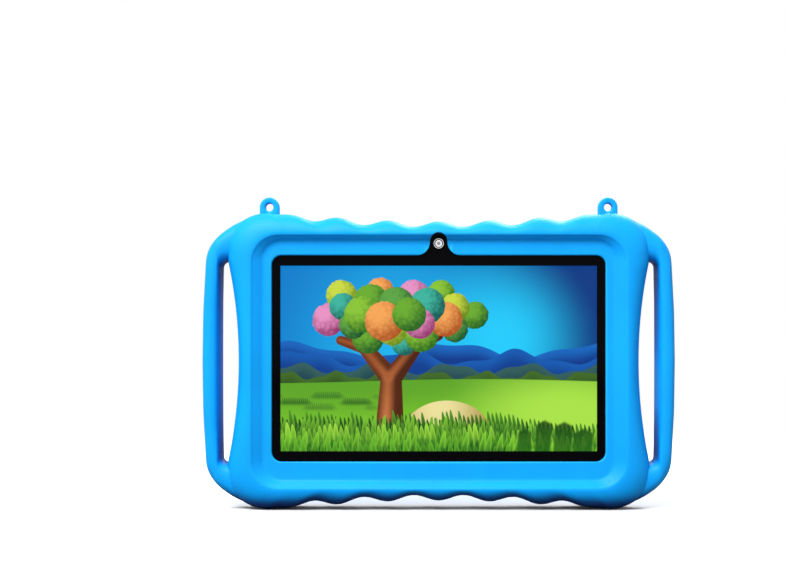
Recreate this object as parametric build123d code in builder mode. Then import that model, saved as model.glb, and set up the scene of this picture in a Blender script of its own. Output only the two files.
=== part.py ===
from build123d import *
from math import cos, radians, sin
import os

# Kids tablet in a soft bumper case, standing upright.
# X runs along the width, Y through the thickness with the screen facing -Y, Z is up.
# The origin is the bottom centre: z = 0 at the lowest point of the case's corner bulges.

# ---- driving dimensions, millimetres ----

SCREEN_Z = 73.4            # height of the screen's centre above the ground
CASE_Z = 72.2              # height of the case outline's centre above the ground

CASE_HALF_DEPTH = 14.0     # the case reaches from y = -14 to y = +14
CASE_EDGE_RADIUS = 6.0     # rounding of the bumper's outer edges
WAVE_MEAN = 66.6           # half height of the case at the middle of its width
WAVE_RISE = 0.00078        # the mean edge climbs with the square of the distance from the middle
WAVE_HEIGHT = 1.4          # scallops stand this much above and below the mean edge
HALF_WAVE = 12.25          # distance from a crest to the next trough
CORNER_X = 83.0            # the corner bulge is highest here
CORNER_TOP = 72.2          # half height of the case at the corner bulge
CORNER_SIDE = 102.8        # half width of the case at the corner bulge
CORNER_SHOULDER = 55.5     # height at which the corner bulge is widest
WAIST = 97.4               # half width of the case at mid height
WAIST_RISE = 0.0022        # the side widens with the square of the distance from the waist

HANDLE_OUTER = 115.4       # half width over the grab handles
HANDLE_INNER = 106.5       # inner face of the grab handle
HANDLE_HALF_DEPTH = 9.0
HANDLE_EDGE_RADIUS = 3.5
FINGER_SLOT_HALF = 49.2    # half length of the opening behind the handle
FINGER_SLOT_CORNER = 3.0

LUG_X = 83.0
LUG_HOLE_UP = 74.2         # strap hole above the screen's centre
LUG_RADIUS = 4.8
LUG_HOLE_RADIUS = 1.9
LUG_THICKNESS = 4.0

OPENING = (161.3, 99.7)    # window in the front lip
OPENING_CORNER = 4.75
CAMERA_TAB_TOP = 60.2      # the window's notch for the front camera
CAMERA_TAB_RADIUS = 4.1
TAB_FLARE = 4.0            # concave rounding where the notch meets the window
LIP_FRONT = -11.0
LIP_FLAT = (170.0, 116.5, 10.0)      # width, height, corner of the flat part of the lip
LIP_SLOPE = (184.2, 124.9, 14.4)     # the same 4 mm further forward, just clear of the bumper
LIP_CENTRE_UP = -0.75

PANEL_REAR = 4.3           # rear face of the case's thin back panel
RECESS_FLOOR = (169.2, 108.8, 9.5)   # width, height, corner of the rear recess at the panel
RECESS_MOUTH = (174.3, 113.9, 12.0)  # the same 1 mm behind the bumper
RECESS_UP = -1.5

PAD_REAR = 13.0            # rear face of the raised pad that carries the kickstand
PAD_FOOT = (51.5, -56.0, 46.0)       # width, lowest and highest edge where the pad leaves the panel
PAD_TOP = (44.0, -52.0, 41.3)        # the same on the pad's rear face

CUTOUT_X = 81.5            # the port cut-out starts here and runs out through the side
CUTOUT_UP = (-23.8, -3.5)
CUTOUT_FLOOR = -6.5

TABLET = (182.0, 118.0, 10.0)        # width, height, corner
TABLET_UP = 2.9            # centre of the tablet above the screen's centre
GLASS_FRONT = -9.0
GLASS_REAR = -7.9
TAPE_REAR = -7.6
HOUSING_REAR = -4.6        # joint between the front housing and the rear cover
COVER_REAR = 0.8
COVER_FLOOR = 1.2
WALL = 1.6
COVER_EDGE_RADIUS = 2.5
SOFT_GAP = 0.3             # play between the tablet and the silicone

GLASS = (179.0, 115.0, 8.5)
ACTIVE_AREA = (153.4, 89.9)
MODULE = (165.2, 100.2)    # display tray
TRAY_REAR = -5.1
TRAY_SKIN = 0.2

FRONT_CAMERA_UP = 55.8
REAR_WINDOW = (5.7, 49.3, 21.6, 10.6)    # centre x, centre height, length, height
REAR_LENS = (1.2, 49.4)
FLASH = (10.5, 49.4)

HINGE_UP = 24.7
HINGE_Y = 11.1
LEG = (27.6, -44.0, 32.9)            # width, lowest and highest edge
LEG_THICKNESS = 3.2
LEG_GAP = 0.5
STAND_FRAME = (33.0, -47.5, 35.8, 2.5)   # width, lowest and highest edge, corner
STAND_PLATE_FRONT = 7.7    # the frame is thin below and deep around the hinge
STAND_BOX_FRONT = 2.3
STAND_BOX_FLOOR = 0.8
STAND_BOX_BOTTOM = 15.0
PIN_RADIUS = 0.75
PIN_HALF = 15.9

BOARD = (-4.4, -3.6)       # front and rear face of the mainboard
FLEX = (-4.57, -4.43)      # flat cables between the front housing and the mainboard
USB_UP = -9.0
JACK_UP = -18.6
JACK_Y = -2.8
JACK_BORE = 1.8
BUTTON_Y = (-3.8, -1.4)
BUTTON_X = {"power": 47.0, "volume_down": 60.0, "volume_up": 72.0}
BUTTON_HALF = 4.6          # half width of a button's cap
FLANGE_HALF = 5.4          # half width of the flange that keeps it in
BUTTON_TOP = 62.5
PLUNGER_TOP = 59.35

os.makedirs("parts", exist_ok=True)


# ---- helpers: planes and simple additions to the sub-part being built ----

def facing(depth, up=SCREEN_Z):
    """A plane across the tablet at this depth; drawings on it have x to the right and y up."""
    return Plane(origin=(0, depth, up), x_dir=(1, 0, 0), z_dir=(0, -1, 0))


def plate(size, front, rear, centre=(0, 0), corner=0.0, mode=Mode.ADD):
    """A flat rectangular plate across the tablet, from one depth to another."""
    with BuildSketch(facing(rear)) as profile:
        with Locations(centre):
            if corner > 0:
                RectangleRounded(size[0], size[1], corner)
            else:
                Rectangle(size[0], size[1])
    extrude(profile.sketch, amount=rear - front, mode=mode)


def disc(radius, front, rear, centre, mode=Mode.ADD):
    """A round plate across the tablet, from one depth to another."""
    with BuildSketch(facing(rear)) as profile:
        with Locations(centre):
            Circle(radius)
    extrude(profile.sketch, amount=rear - front, mode=mode)


def stadium(size, front, rear, centre, mode=Mode.ADD):
    """A round-ended plate lying along the width, from one depth to another."""
    with BuildSketch(facing(rear)) as profile:
        with Locations(centre):
            SlotOverall(*size)
    extrude(profile.sketch, amount=rear - front, mode=mode)


def block(x, y, up, mode=Mode.ADD):
    """A rectangular block between two limits on each axis, heights counted from the screen's centre."""
    centre = ((x[0] + x[1]) / 2, (y[0] + y[1]) / 2, SCREEN_Z + (up[0] + up[1]) / 2)
    with Locations(centre):
        Box(x[1] - x[0], y[1] - y[0], up[1] - up[0], mode=mode)


def rod(radius, x, y, up, mode=Mode.ADD):
    """A round bar along the width between two limits."""
    with BuildSketch(Plane.YZ.offset(x[0])) as profile:
        with Locations((y, SCREEN_Z + up)):
            Circle(radius)
    extrude(profile.sketch, amount=x[1] - x[0], mode=mode)


def tapered(foot, top, foot_depth, top_depth, centre, mode):
    """A rounded plate that changes size from one depth to another; sizes are width, height, corner."""
    with BuildSketch(facing(foot_depth)) as foot_profile:
        with Locations(centre):
            RectangleRounded(*foot)
    with BuildSketch(facing(top_depth)) as top_profile:
        with Locations(centre):
            RectangleRounded(*top)
    loft([foot_profile.sketch, top_profile.sketch], mode=mode)


def wave_height(x):
    """Half height of the case at distance x from the middle; crests and troughs alternate."""
    crest = 1 if round(x / HALF_WAVE) % 2 == 0 else -1
    fade = min(1.0, (CORNER_X - x) / 22.0)
    return WAVE_MEAN + WAVE_RISE * x * x + crest * WAVE_HEIGHT * fade


def side_width(z):
    """Half width of the case at height z from its middle."""
    return WAIST + WAIST_RISE * z * z


def write(builder, name):
    """Label a finished sub-part and store it."""
    builder.part.label = name
    export_step(builder.part, "parts/" + name + ".step")


# ---- silicone bumper case ----

window_spot = REAR_WINDOW[:2]
window_length, window_height = REAR_WINDOW[2:]

scallops = [(step * HALF_WAVE, wave_height(step * HALF_WAVE)) for step in range(7)]
top_edge = [(-x, z) for x, z in reversed(scallops[1:])] + scallops
top_edge = [(-CORNER_X, CORNER_TOP)] + top_edge + [(CORNER_X, CORNER_TOP)]
side_heights = (-43.0, -25.0, 0.0, 25.0, 43.0)


def bumper_outline(inset):
    """Draw the bumper's outline, moved inwards by inset."""
    upper = [(x, z - inset) for x, z in top_edge]
    Spline(*upper, tangents=[(1, 0), (1, 0)])
    Spline(*[(x, -z) for x, z in upper], tangents=[(1, 0), (1, 0)])
    for side in (-1, 1):
        flank = [(side * (CORNER_SIDE - inset), -CORNER_SHOULDER)]
        flank += [(side * (side_width(z) - inset), z) for z in side_heights]
        flank += [(side * (CORNER_SIDE - inset), CORNER_SHOULDER)]
        Spline(*flank, tangents=[(0, 1), (0, 1)])
    bulge = (CORNER_SIDE - CORNER_X - inset, CORNER_TOP - CORNER_SHOULDER - inset)
    for quarter, (right, up) in enumerate(((1, 1), (-1, 1), (-1, -1), (1, -1))):
        centre = (right * CORNER_X, up * CORNER_SHOULDER)
        EllipticalCenterArc(centre, *bulge, start_angle=90 * quarter, arc_size=90)


# the outline at full size between two rounded crowns, drawn as one stack of sections
crown_start = CASE_HALF_DEPTH - CASE_EDGE_RADIUS
crown_angles = (0, 22, 45, 68, 90)
front_crown = [(-crown_start - CASE_EDGE_RADIUS * sin(radians(angle)),
                CASE_EDGE_RADIUS * (1 - cos(radians(angle)))) for angle in crown_angles]
rear_crown = [(-depth, inset) for depth, inset in reversed(front_crown)]

with BuildPart() as bumper_core:
    for depth, inset in rear_crown + front_crown:
        with BuildSketch(facing(depth, CASE_Z)):
            with BuildLine():
                bumper_outline(inset)
            make_face()
    loft(ruled=True)

handle_corner = [(90.0, 70.6), (100.5, 66.5), (110.0, 58.7), (113.4, 51.0), (115.0, 25.0)]

with BuildPart() as grab_handle:
    with BuildSketch(facing(HANDLE_HALF_DEPTH, CASE_Z)):
        with BuildLine():
            upper = handle_corner + [(HANDLE_OUTER, 0.0)]
            Spline(*upper, *[(x, -z) for x, z in reversed(handle_corner)])
            Line(handle_corner[0], (handle_corner[0][0], -handle_corner[0][1]))
        make_face()
        with Locations((HANDLE_INNER - 10.0, 0)):
            RectangleRounded(20.0, 2 * FINGER_SLOT_HALF, FINGER_SLOT_CORNER, mode=Mode.SUBTRACT)
    extrude(amount=2 * HANDLE_HALF_DEPTH)
    fillet(grab_handle.faces().filter_by(Plane.XZ).edges(), HANDLE_EDGE_RADIUS)

with BuildPart() as silicone_case:
    add(bumper_core.part)
    add(grab_handle.part)
    mirror(grab_handle.part, about=Plane.YZ)
    # strap lugs on the top corners
    for side in (-1, 1):
        with BuildSketch(facing(LUG_THICKNESS / 2)):
            with Locations((side * LUG_X, LUG_HOLE_UP)):
                Circle(LUG_RADIUS)
            with Locations((side * LUG_X, LUG_HOLE_UP - 5.0)):
                Rectangle(2 * LUG_RADIUS, 10.0)
        extrude(amount=LUG_THICKNESS)
        disc(LUG_HOLE_RADIUS, -LUG_THICKNESS, LUG_THICKNESS, (side * LUG_X, LUG_HOLE_UP), Mode.SUBTRACT)
    # sloping front lip and its window with the camera notch
    front_face = -CASE_HALF_DEPTH - 1.0
    tapered(LIP_FLAT, LIP_SLOPE, LIP_FRONT, LIP_FRONT - 4.0, (0, LIP_CENTRE_UP), Mode.SUBTRACT)
    plate(OPENING, front_face, GLASS_FRONT, corner=OPENING_CORNER, mode=Mode.SUBTRACT)
    with BuildSketch(facing(GLASS_FRONT)):
        notch_middle = CAMERA_TAB_TOP - CAMERA_TAB_RADIUS
        window_top = OPENING[1] / 2
        with Locations((0, notch_middle)):
            Circle(CAMERA_TAB_RADIUS)
        with Locations((0, (notch_middle + window_top) / 2 - 1.0)):
            Rectangle(2 * CAMERA_TAB_RADIUS, notch_middle - window_top + 2.0)
        with BuildLine():
            foot = CAMERA_TAB_RADIUS + TAB_FLARE
            Polyline((-foot, window_top), (-foot, window_top - 2.0), (foot, window_top - 2.0), (foot, window_top))
            RadiusArc((foot, window_top), (CAMERA_TAB_RADIUS, window_top + TAB_FLARE), TAB_FLARE)
            Line((CAMERA_TAB_RADIUS, window_top + TAB_FLARE), (-CAMERA_TAB_RADIUS, window_top + TAB_FLARE))
            RadiusArc((-CAMERA_TAB_RADIUS, window_top + TAB_FLARE), (-foot, window_top), TAB_FLARE)
        make_face()
    extrude(amount=GLASS_FRONT - front_face, mode=Mode.SUBTRACT)
    # the space that holds the tablet
    hollow = (TABLET[0] + 2 * SOFT_GAP, TABLET[1] + 2 * SOFT_GAP)
    plate(hollow, GLASS_FRONT - 0.1, COVER_REAR + SOFT_GAP, (0, TABLET_UP), TABLET[2], Mode.SUBTRACT)
    # rear recess with the raised kickstand pad
    tapered(RECESS_FLOOR, RECESS_MOUTH, PANEL_REAR, CASE_HALF_DEPTH + 1.0, (0, RECESS_UP), Mode.SUBTRACT)
    pad_foot = (PAD_FOOT[0], PAD_FOOT[2] - PAD_FOOT[1], 4.5)
    pad_top = (PAD_TOP[0], PAD_TOP[2] - PAD_TOP[1], 3.5)
    tapered(pad_foot, pad_top, PANEL_REAR, PAD_REAR, (0, (PAD_TOP[1] + PAD_TOP[2]) / 2), Mode.ADD)
    # pocket for the kickstand frame
    frame_height = STAND_FRAME[2] - STAND_FRAME[1]
    frame_middle = (STAND_FRAME[2] + STAND_FRAME[1]) / 2
    pocket = (STAND_FRAME[0] + 0.2, frame_height + 0.2)
    plate(pocket, STAND_PLATE_FRONT - 0.1, PAD_REAR, (0, frame_middle), STAND_FRAME[3], Mode.SUBTRACT)
    box_height = STAND_FRAME[2] - STAND_BOX_BOTTOM
    box_middle = (STAND_FRAME[2] + STAND_BOX_BOTTOM) / 2
    deep_pocket = (STAND_FRAME[0] + 0.2, box_height + 0.2)
    plate(deep_pocket, STAND_BOX_FRONT - 0.1, PAD_REAR, (0, box_middle), STAND_FRAME[3], Mode.SUBTRACT)
    # rear camera opening
    opening_size = (window_length + 1.9, window_height + 1.9)
    stadium(opening_size, COVER_REAR, CASE_HALF_DEPTH, window_spot, Mode.SUBTRACT)
    # port cut-out through the rear of the right-hand bumper
    block((CUTOUT_X, HANDLE_INNER - 1.0), (CUTOUT_FLOOR, CASE_HALF_DEPTH + 1.0), CUTOUT_UP, Mode.SUBTRACT)
    # room for the buttons under the thin top wall
    for centre in BUTTON_X.values():
        room = (centre - BUTTON_HALF - 0.8, centre + BUTTON_HALF + 0.8)
        block(room, (-4.6, -0.6), (61.0, 62.9), Mode.SUBTRACT)
write(silicone_case, "silicone_case")

# ---- kickstand ----

with BuildPart() as kickstand_frame:
    plate((STAND_FRAME[0], frame_height), STAND_PLATE_FRONT, PAD_REAR, (0, frame_middle), STAND_FRAME[3])
    plate((STAND_FRAME[0], box_height), STAND_BOX_FRONT, PAD_REAR, (0, box_middle), STAND_FRAME[3])
    well_half = LEG[0] / 2 + LEG_GAP
    leg_inner = HINGE_Y - LEG_THICKNESS / 2
    # shallow well for the leg, deep well where its upper end swings in
    block((-well_half, well_half), (leg_inner - 0.5, PAD_REAR + 1), (LEG[1] - 1.0, LEG[2] + 0.8), Mode.SUBTRACT)
    deep_well = (STAND_BOX_BOTTOM + 1.5, LEG[2] + 0.8)
    well_floor = STAND_BOX_FRONT + STAND_BOX_FLOOR
    block((-well_half, well_half), (well_floor, PAD_REAR + 1), deep_well, Mode.SUBTRACT)
    # notches in the side walls at the hinge
    for side in (-1, 1):
        notch = sorted((side * (well_half - 1.0), side * (well_half + 1.3)))
        block(notch, (well_floor, PAD_REAR + 1), (HINGE_UP - 1.3, HINGE_UP + 1.3), Mode.SUBTRACT)
    # scooped finger notch below the end of the leg
    disc(7.0, leg_inner - 0.5, PAD_REAR + 1, (0, LEG[1] + 4.6), Mode.SUBTRACT)
    rod(PIN_RADIUS + 0.01, (-PIN_HALF, PIN_HALF), HINGE_Y, HINGE_UP, Mode.SUBTRACT)
    outer_rim = kickstand_frame.faces().sort_by(Axis.Y)[-1].outer_wire().edges()
    chamfer(outer_rim, 0.4)
write(kickstand_frame, "kickstand_frame")

with BuildPart() as kickstand_leg:
    leg_rear = HINGE_Y + LEG_THICKNESS / 2
    plate((LEG[0], LEG[2] - LEG[1]), leg_inner, leg_rear, (0, (LEG[1] + LEG[2]) / 2), 1.2)
    chamfer(kickstand_leg.faces().sort_by(Axis.Y)[-1].edges(), 0.8)
    rod(PIN_RADIUS + 0.05, (-LEG[0], LEG[0]), HINGE_Y, HINGE_UP, Mode.SUBTRACT)
write(kickstand_leg, "kickstand_leg")

with BuildPart() as kickstand_pin:
    rod(PIN_RADIUS, (-PIN_HALF, PIN_HALF), HINGE_Y, HINGE_UP)
    chamfer(kickstand_pin.edges().filter_by(GeomType.CIRCLE), 0.15)
write(kickstand_pin, "kickstand_pin")

# ---- glass and display stack ----

housing_window = (MODULE[0] + 0.6, MODULE[1] + 0.6)

with BuildPart() as cover_glass:
    plate(GLASS[:2], GLASS_FRONT, GLASS_REAR, (0, TABLET_UP), GLASS[2])
    chamfer(cover_glass.faces().sort_by(Axis.Y)[0].edges(), 0.2)
write(cover_glass, "cover_glass")

with BuildPart() as touch_adhesive:
    plate((GLASS[0] - 2, GLASS[1] - 2), GLASS_REAR, TAPE_REAR, (0, TABLET_UP), GLASS[2] - 1)
    plate((housing_window[0] + 1, housing_window[1] + 1), GLASS_REAR, TAPE_REAR, mode=Mode.SUBTRACT)
    disc(2.7, GLASS_REAR, TAPE_REAR, (0, FRONT_CAMERA_UP), Mode.SUBTRACT)
write(touch_adhesive, "touch_adhesive")

gasket_rear = GLASS_REAR + 0.2
with BuildPart() as display_gasket:
    plate((MODULE[0] - 2, MODULE[1] - 2), GLASS_REAR, gasket_rear)
    plate((ACTIVE_AREA[0] + 2, ACTIVE_AREA[1] + 2), GLASS_REAR, gasket_rear, mode=Mode.SUBTRACT)
write(display_gasket, "display_gasket")

panel_rear = gasket_rear + 1.0
panel_size = (MODULE[0] - 2 * TRAY_SKIN - 0.2, MODULE[1] - 2 * TRAY_SKIN - 0.2)
with BuildPart() as display_panel:
    plate(panel_size, gasket_rear, panel_rear)
write(display_panel, "display_panel")

with BuildPart() as backlight_unit:
    plate(panel_size, panel_rear, TRAY_REAR - TRAY_SKIN)
write(backlight_unit, "backlight_unit")

with BuildPart() as display_tray:
    plate(MODULE, panel_rear - 0.2, TRAY_REAR)
    inside = (MODULE[0] - 2 * TRAY_SKIN, MODULE[1] - 2 * TRAY_SKIN)
    plate(inside, panel_rear - 0.2, TRAY_REAR - TRAY_SKIN, mode=Mode.SUBTRACT)
write(display_tray, "display_tray")

# ---- tablet housing ----

half_width = TABLET[0] / 2
tablet_top = TABLET_UP + TABLET[1] / 2
tablet_bottom = TABLET_UP - TABLET[1] / 2
screw_spots = [(sx * 86.5, TABLET_UP + sz * 54.2) for sx in (-1, 1) for sz in (-1, 1)]
board_screw_spots = [(38.0, 47.0), (38.0, -41.0), (80.0, 47.0), (80.0, -41.0)]
cover_inner_rear = COVER_REAR - COVER_FLOOR

with BuildPart() as front_housing:
    plate(TABLET[:2], GLASS_FRONT, HOUSING_REAR, (0, TABLET_UP), TABLET[2])
    rebate = (GLASS[0] + 0.2, GLASS[1] + 0.2)
    plate(rebate, GLASS_FRONT, TAPE_REAR, (0, TABLET_UP), GLASS[2], Mode.SUBTRACT)
    plate(housing_window, TAPE_REAR, HOUSING_REAR, mode=Mode.SUBTRACT)
    disc(2.5, TAPE_REAR, HOUSING_REAR, (0, FRONT_CAMERA_UP), Mode.SUBTRACT)
    block((70.0, 92.0), (-5.1, HOUSING_REAR), (JACK_UP - 3.3, JACK_UP + 3.3), Mode.SUBTRACT)
    for spot in screw_spots:
        disc(0.82, HOUSING_REAR - 2.2, HOUSING_REAR, spot, Mode.SUBTRACT)
    chamfer(front_housing.faces().sort_by(Axis.Y)[0].outer_wire().edges(), 0.3)
write(front_housing, "front_housing")

with BuildPart() as rear_cover:
    plate(TABLET[:2], HOUSING_REAR, COVER_REAR, (0, TABLET_UP), TABLET[2])
    fillet(rear_cover.faces().sort_by(Axis.Y)[-1].edges(), COVER_EDGE_RADIUS)
    inner = (TABLET[0] - 2 * WALL, TABLET[1] - 2 * WALL)
    plate(inner, HOUSING_REAR, cover_inner_rear, (0, TABLET_UP), TABLET[2] - WALL, Mode.SUBTRACT)
    # screw bosses, for the housing's corners and for the mainboard
    for spot in screw_spots:
        disc(2.3, HOUSING_REAR, cover_inner_rear, spot)
        disc(0.9, HOUSING_REAR, COVER_REAR, spot, Mode.SUBTRACT)
        disc(1.6, COVER_REAR - 1.0, COVER_REAR, spot, Mode.SUBTRACT)
    for spot in board_screw_spots:
        disc(2.0, BOARD[1], cover_inner_rear, spot)
        disc(0.72, BOARD[1], cover_inner_rear - 0.6, spot, Mode.SUBTRACT)
    # openings: rear camera window, speaker slots, ports, microphone, card slot, buttons
    stadium((window_length + 0.1, window_height + 0.1), -1, COVER_REAR, window_spot, Mode.SUBTRACT)
    for row in range(5):
        stadium((14.0, 1.0), -1, COVER_REAR, (-74.0, -51.0 + 2.0 * row), Mode.SUBTRACT)
    block((88.0, 92.0), (-4.2, -0.8), (USB_UP - 4.6, USB_UP + 4.6), Mode.SUBTRACT)
    rod(2.3, (88.0, 92.0), JACK_Y, JACK_UP, Mode.SUBTRACT)
    rod(0.5, (88.0, 92.0), -3.1, -22.95, Mode.SUBTRACT)
    block((88.0, 92.0), (-3.4, -2.3), (9.0, 21.0), Mode.SUBTRACT)
    slot_depths = (BUTTON_Y[0] - 0.15, BUTTON_Y[1] + 0.15)
    for centre in BUTTON_X.values():
        slot = (centre - BUTTON_HALF - 0.15, centre + BUTTON_HALF + 0.15)
        block(slot, slot_depths, (59.0, 63.0), Mode.SUBTRACT)
write(rear_cover, "rear_cover")

with BuildPart() as housing_screws:
    for spot in screw_spots:
        disc(1.5, COVER_REAR - 1.0, COVER_REAR - 0.15, spot)
        disc(0.8, HOUSING_REAR - 2.0, COVER_REAR - 1.0, spot)
        with BuildSketch(facing(COVER_REAR - 0.15)):
            with Locations(spot):
                Rectangle(1.8, 0.4)
                Rectangle(0.4, 1.8)
        extrude(amount=0.4, mode=Mode.SUBTRACT)
write(housing_screws, "housing_screws")

# ---- electronics ----

with BuildPart() as mainboard:
    block((34.0, 88.4), BOARD, (-46.0, 52.0))
    block((40.0, 78.0), BOARD, (52.0, 58.0))
    block((82.0, 89.0), BOARD, (USB_UP - 4.7, USB_UP + 4.7), Mode.SUBTRACT)
    block((76.0, 89.0), BOARD, (JACK_UP - 3.2, JACK_UP + 3.2), Mode.SUBTRACT)
    for spot in board_screw_spots:
        disc(0.8, BOARD[0], BOARD[1], spot, Mode.SUBTRACT)
write(mainboard, "mainboard")

with BuildPart() as board_screws:
    for spot in board_screw_spots:
        disc(1.4, BOARD[0] - 0.5, BOARD[0], spot)
        disc(0.7, BOARD[0], -1.2, spot)
write(board_screws, "board_screws")

with BuildPart() as board_chips:
    plate((12.0, 12.0), BOARD[1], BOARD[1] + 1.0, (54.0, 6.0))
    plate((10.0, 11.0), BOARD[1], BOARD[1] + 1.0, (54.0, -10.0))
    plate((6.0, 6.0), BOARD[1], BOARD[1] + 0.9, (66.0, 4.0))
write(board_chips, "board_chips")

with BuildPart() as shield_can:
    plate((28.0, 32.0), BOARD[1], BOARD[1] + 1.6, (58.0, -2.0))
    plate((27.6, 31.6), BOARD[1], BOARD[1] + 1.4, (58.0, -2.0), mode=Mode.SUBTRACT)
write(shield_can, "shield_can")

with BuildPart() as wifi_module:
    plate((12.0, 12.0), BOARD[1], BOARD[1] + 1.6, (50.0, 36.0))
write(wifi_module, "wifi_module")

with BuildPart() as wifi_antenna:
    plate((32.0, 6.0), cover_inner_rear - 0.2, cover_inner_rear, (-46.0, 52.0))
write(wifi_antenna, "wifi_antenna")

with BuildPart() as antenna_cable:
    with BuildLine():
        cable_y = -1.4
        Polyline((49.0, cable_y, SCREEN_Z + 36.0), (49.0, cable_y, SCREEN_Z + 41.5),
                 (-46.0, cable_y, SCREEN_Z + 41.5), (-46.0, cable_y, SCREEN_Z + 50.0))
    with BuildSketch(Plane(origin=(49.0, cable_y, SCREEN_Z + 36.0), z_dir=(0, 0, 1))):
        Circle(0.45)
    sweep(transition=Transition.ROUND)
write(antenna_cable, "antenna_cable")

with BuildPart() as usb_port:
    block((83.0, 90.5), (-4.1, -0.9), (USB_UP - 4.47, USB_UP + 4.47))
    fillet(usb_port.edges().filter_by(Axis.X), 1.5)
    block((84.0, 90.5), (-3.75, -1.25), (USB_UP - 4.15, USB_UP + 4.15), Mode.SUBTRACT)
    block((84.0, 89.8), (-2.85, -2.15), (USB_UP - 3.3, USB_UP + 3.3))
write(usb_port, "usb_port")

with BuildPart() as headphone_jack:
    block((76.4, 89.0), (JACK_Y - 2.2, JACK_Y + 2.2), (JACK_UP - 3.1, JACK_UP + 3.1))
    rod(2.2, (89.0, 90.7), JACK_Y, JACK_UP)
    rod(JACK_BORE, (76.8, 90.7), JACK_Y, JACK_UP, Mode.SUBTRACT)
write(headphone_jack, "headphone_jack")

with BuildPart() as microsd_socket:
    block((74.0, 88.3), (BOARD[1], BOARD[1] + 1.5), (8.0, 22.0))
    block((75.0, 88.3), (BOARD[1] + 0.3, BOARD[1] + 1.2), (9.4, 20.6), Mode.SUBTRACT)
write(microsd_socket, "microsd_socket")

with BuildPart() as battery_tape:
    plate((90.0, 60.0), TRAY_REAR, TRAY_REAR + 0.2, (-24.0, -1.0))
write(battery_tape, "battery_tape")

with BuildPart() as battery:
    plate((104.0, 78.0), TRAY_REAR + 0.2, -1.3, (-24.0, -1.0), 1.0)
    fillet(battery.edges().filter_by(Axis.Z), 1.2)
write(battery, "battery")

with BuildPart() as battery_leads:
    for up in (19.0, 21.0):
        rod(0.5, (28.0, 37.0), -3.0, up)
write(battery_leads, "battery_leads")

with BuildPart() as speaker:
    block((-84.0, -64.0), (-4.4, -0.9), (-53.5, -41.5))
    fillet(speaker.edges().filter_by(Axis.Y), 2.0)
write(speaker, "speaker")

with BuildPart() as speaker_leads:
    for up in (-43.7, -45.0):
        rod(0.4, (-64.0, 36.6), -3.1, up)
write(speaker_leads, "speaker_leads")

with BuildPart() as microphone:
    block((84.0, 88.0), (BOARD[1], BOARD[1] + 1.0), (-26.0, -22.4))
write(microphone, "microphone")

with BuildPart() as display_flex:
    block((44.0, 70.0), FLEX, (-49.5, -32.0))
write(display_flex, "display_flex")

with BuildPart() as touch_flex:
    block((20.0, 39.0), FLEX, (-53.0, -47.0))
    block((35.5, 39.0), FLEX, (-47.0, -43.5))
write(touch_flex, "touch_flex")

# ---- cameras and flash ----

with BuildPart() as front_camera_module:
    disc(2.4, GLASS_REAR + 0.3, HOUSING_REAR, (0, FRONT_CAMERA_UP))
    plate((6.0, 5.4), HOUSING_REAR, -2.2, (0, 57.2))
write(front_camera_module, "front_camera_module")

with BuildPart() as front_camera_ring:
    disc(2.4, GLASS_REAR, GLASS_REAR + 0.3, (0, FRONT_CAMERA_UP))
    disc(1.55, GLASS_REAR, GLASS_REAR + 0.3, (0, FRONT_CAMERA_UP), Mode.SUBTRACT)
write(front_camera_ring, "front_camera_ring")

with BuildPart() as front_camera_lens:
    disc(1.5, GLASS_REAR + 0.05, GLASS_REAR + 0.3, (0, FRONT_CAMERA_UP))
write(front_camera_lens, "front_camera_lens")

with BuildPart() as rear_camera_trim:
    stadium((window_length, window_height), cover_inner_rear, 2.4, window_spot)
    stadium((window_length - 1.6, window_height - 1.6), cover_inner_rear, 2.4, window_spot, Mode.SUBTRACT)
    trim_rim = rear_camera_trim.faces().sort_by(Axis.Y)[-1].edges()
    chamfer(trim_rim, 0.25)
write(rear_camera_trim, "rear_camera_trim")

with BuildPart() as rear_camera_window:
    stadium((window_length - 1.7, window_height - 1.7), 1.2, 2.2, window_spot)
    disc(3.35, 1.2, 2.2, REAR_LENS, Mode.SUBTRACT)
    disc(1.75, 1.2, 2.2, FLASH, Mode.SUBTRACT)
write(rear_camera_window, "rear_camera_window")

with BuildPart() as rear_camera_lens:
    disc(3.3, 1.3, 1.9, REAR_LENS)
write(rear_camera_lens, "rear_camera_lens")

with BuildPart() as rear_camera_module:
    plate((8.5, 8.5), -4.0, -0.5, REAR_LENS)
    disc(3.2, -0.5, 1.2, REAR_LENS)
write(rear_camera_module, "rear_camera_module")

with BuildPart() as flash_led:
    plate((3.0, 3.0), -0.2, 0.6, FLASH)
    disc(1.7, 0.6, 1.9, FLASH)
write(flash_led, "flash_led")

# ---- buttons and their switches ----

button_bottom = PLUNGER_TOP + 0.05
flange_top = button_bottom + 0.55
switch_depths = (BOARD[1], -1.7)
switch_up = (54.8, 58.5)
plunger_depths = (-3.1, -2.2)

for name, centre in BUTTON_X.items():
    with BuildPart() as button:
        block((centre - BUTTON_HALF, centre + BUTTON_HALF), BUTTON_Y, (button_bottom, BUTTON_TOP))
        block((centre - FLANGE_HALF, centre + FLANGE_HALF), BUTTON_Y, (button_bottom, flange_top))
        fillet(button.faces().sort_by(Axis.Z)[-1].edges(), 0.4)
    write(button, name + "_button")

    with BuildPart() as plunger:
        block((centre - 1.0, centre + 1.0), plunger_depths, (switch_up[0] + 2.3, PLUNGER_TOP))
    write(plunger, name + "_plunger")

    # the switch is hollow where its plunger slides
    with BuildPart() as switch:
        block((centre - 2.1, centre + 2.1), switch_depths, switch_up)
        guide = (plunger_depths[0] - 0.1, plunger_depths[1] + 0.1)
        block((centre - 1.1, centre + 1.1), guide, (switch_up[0] + 1.8, switch_up[1]), Mode.SUBTRACT)
    write(switch, name + "_switch")
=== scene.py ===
import math

import bmesh
import bpy
import numpy as np
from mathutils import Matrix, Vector
from mathutils.geometry import delaunay_2d_cdt


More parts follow.
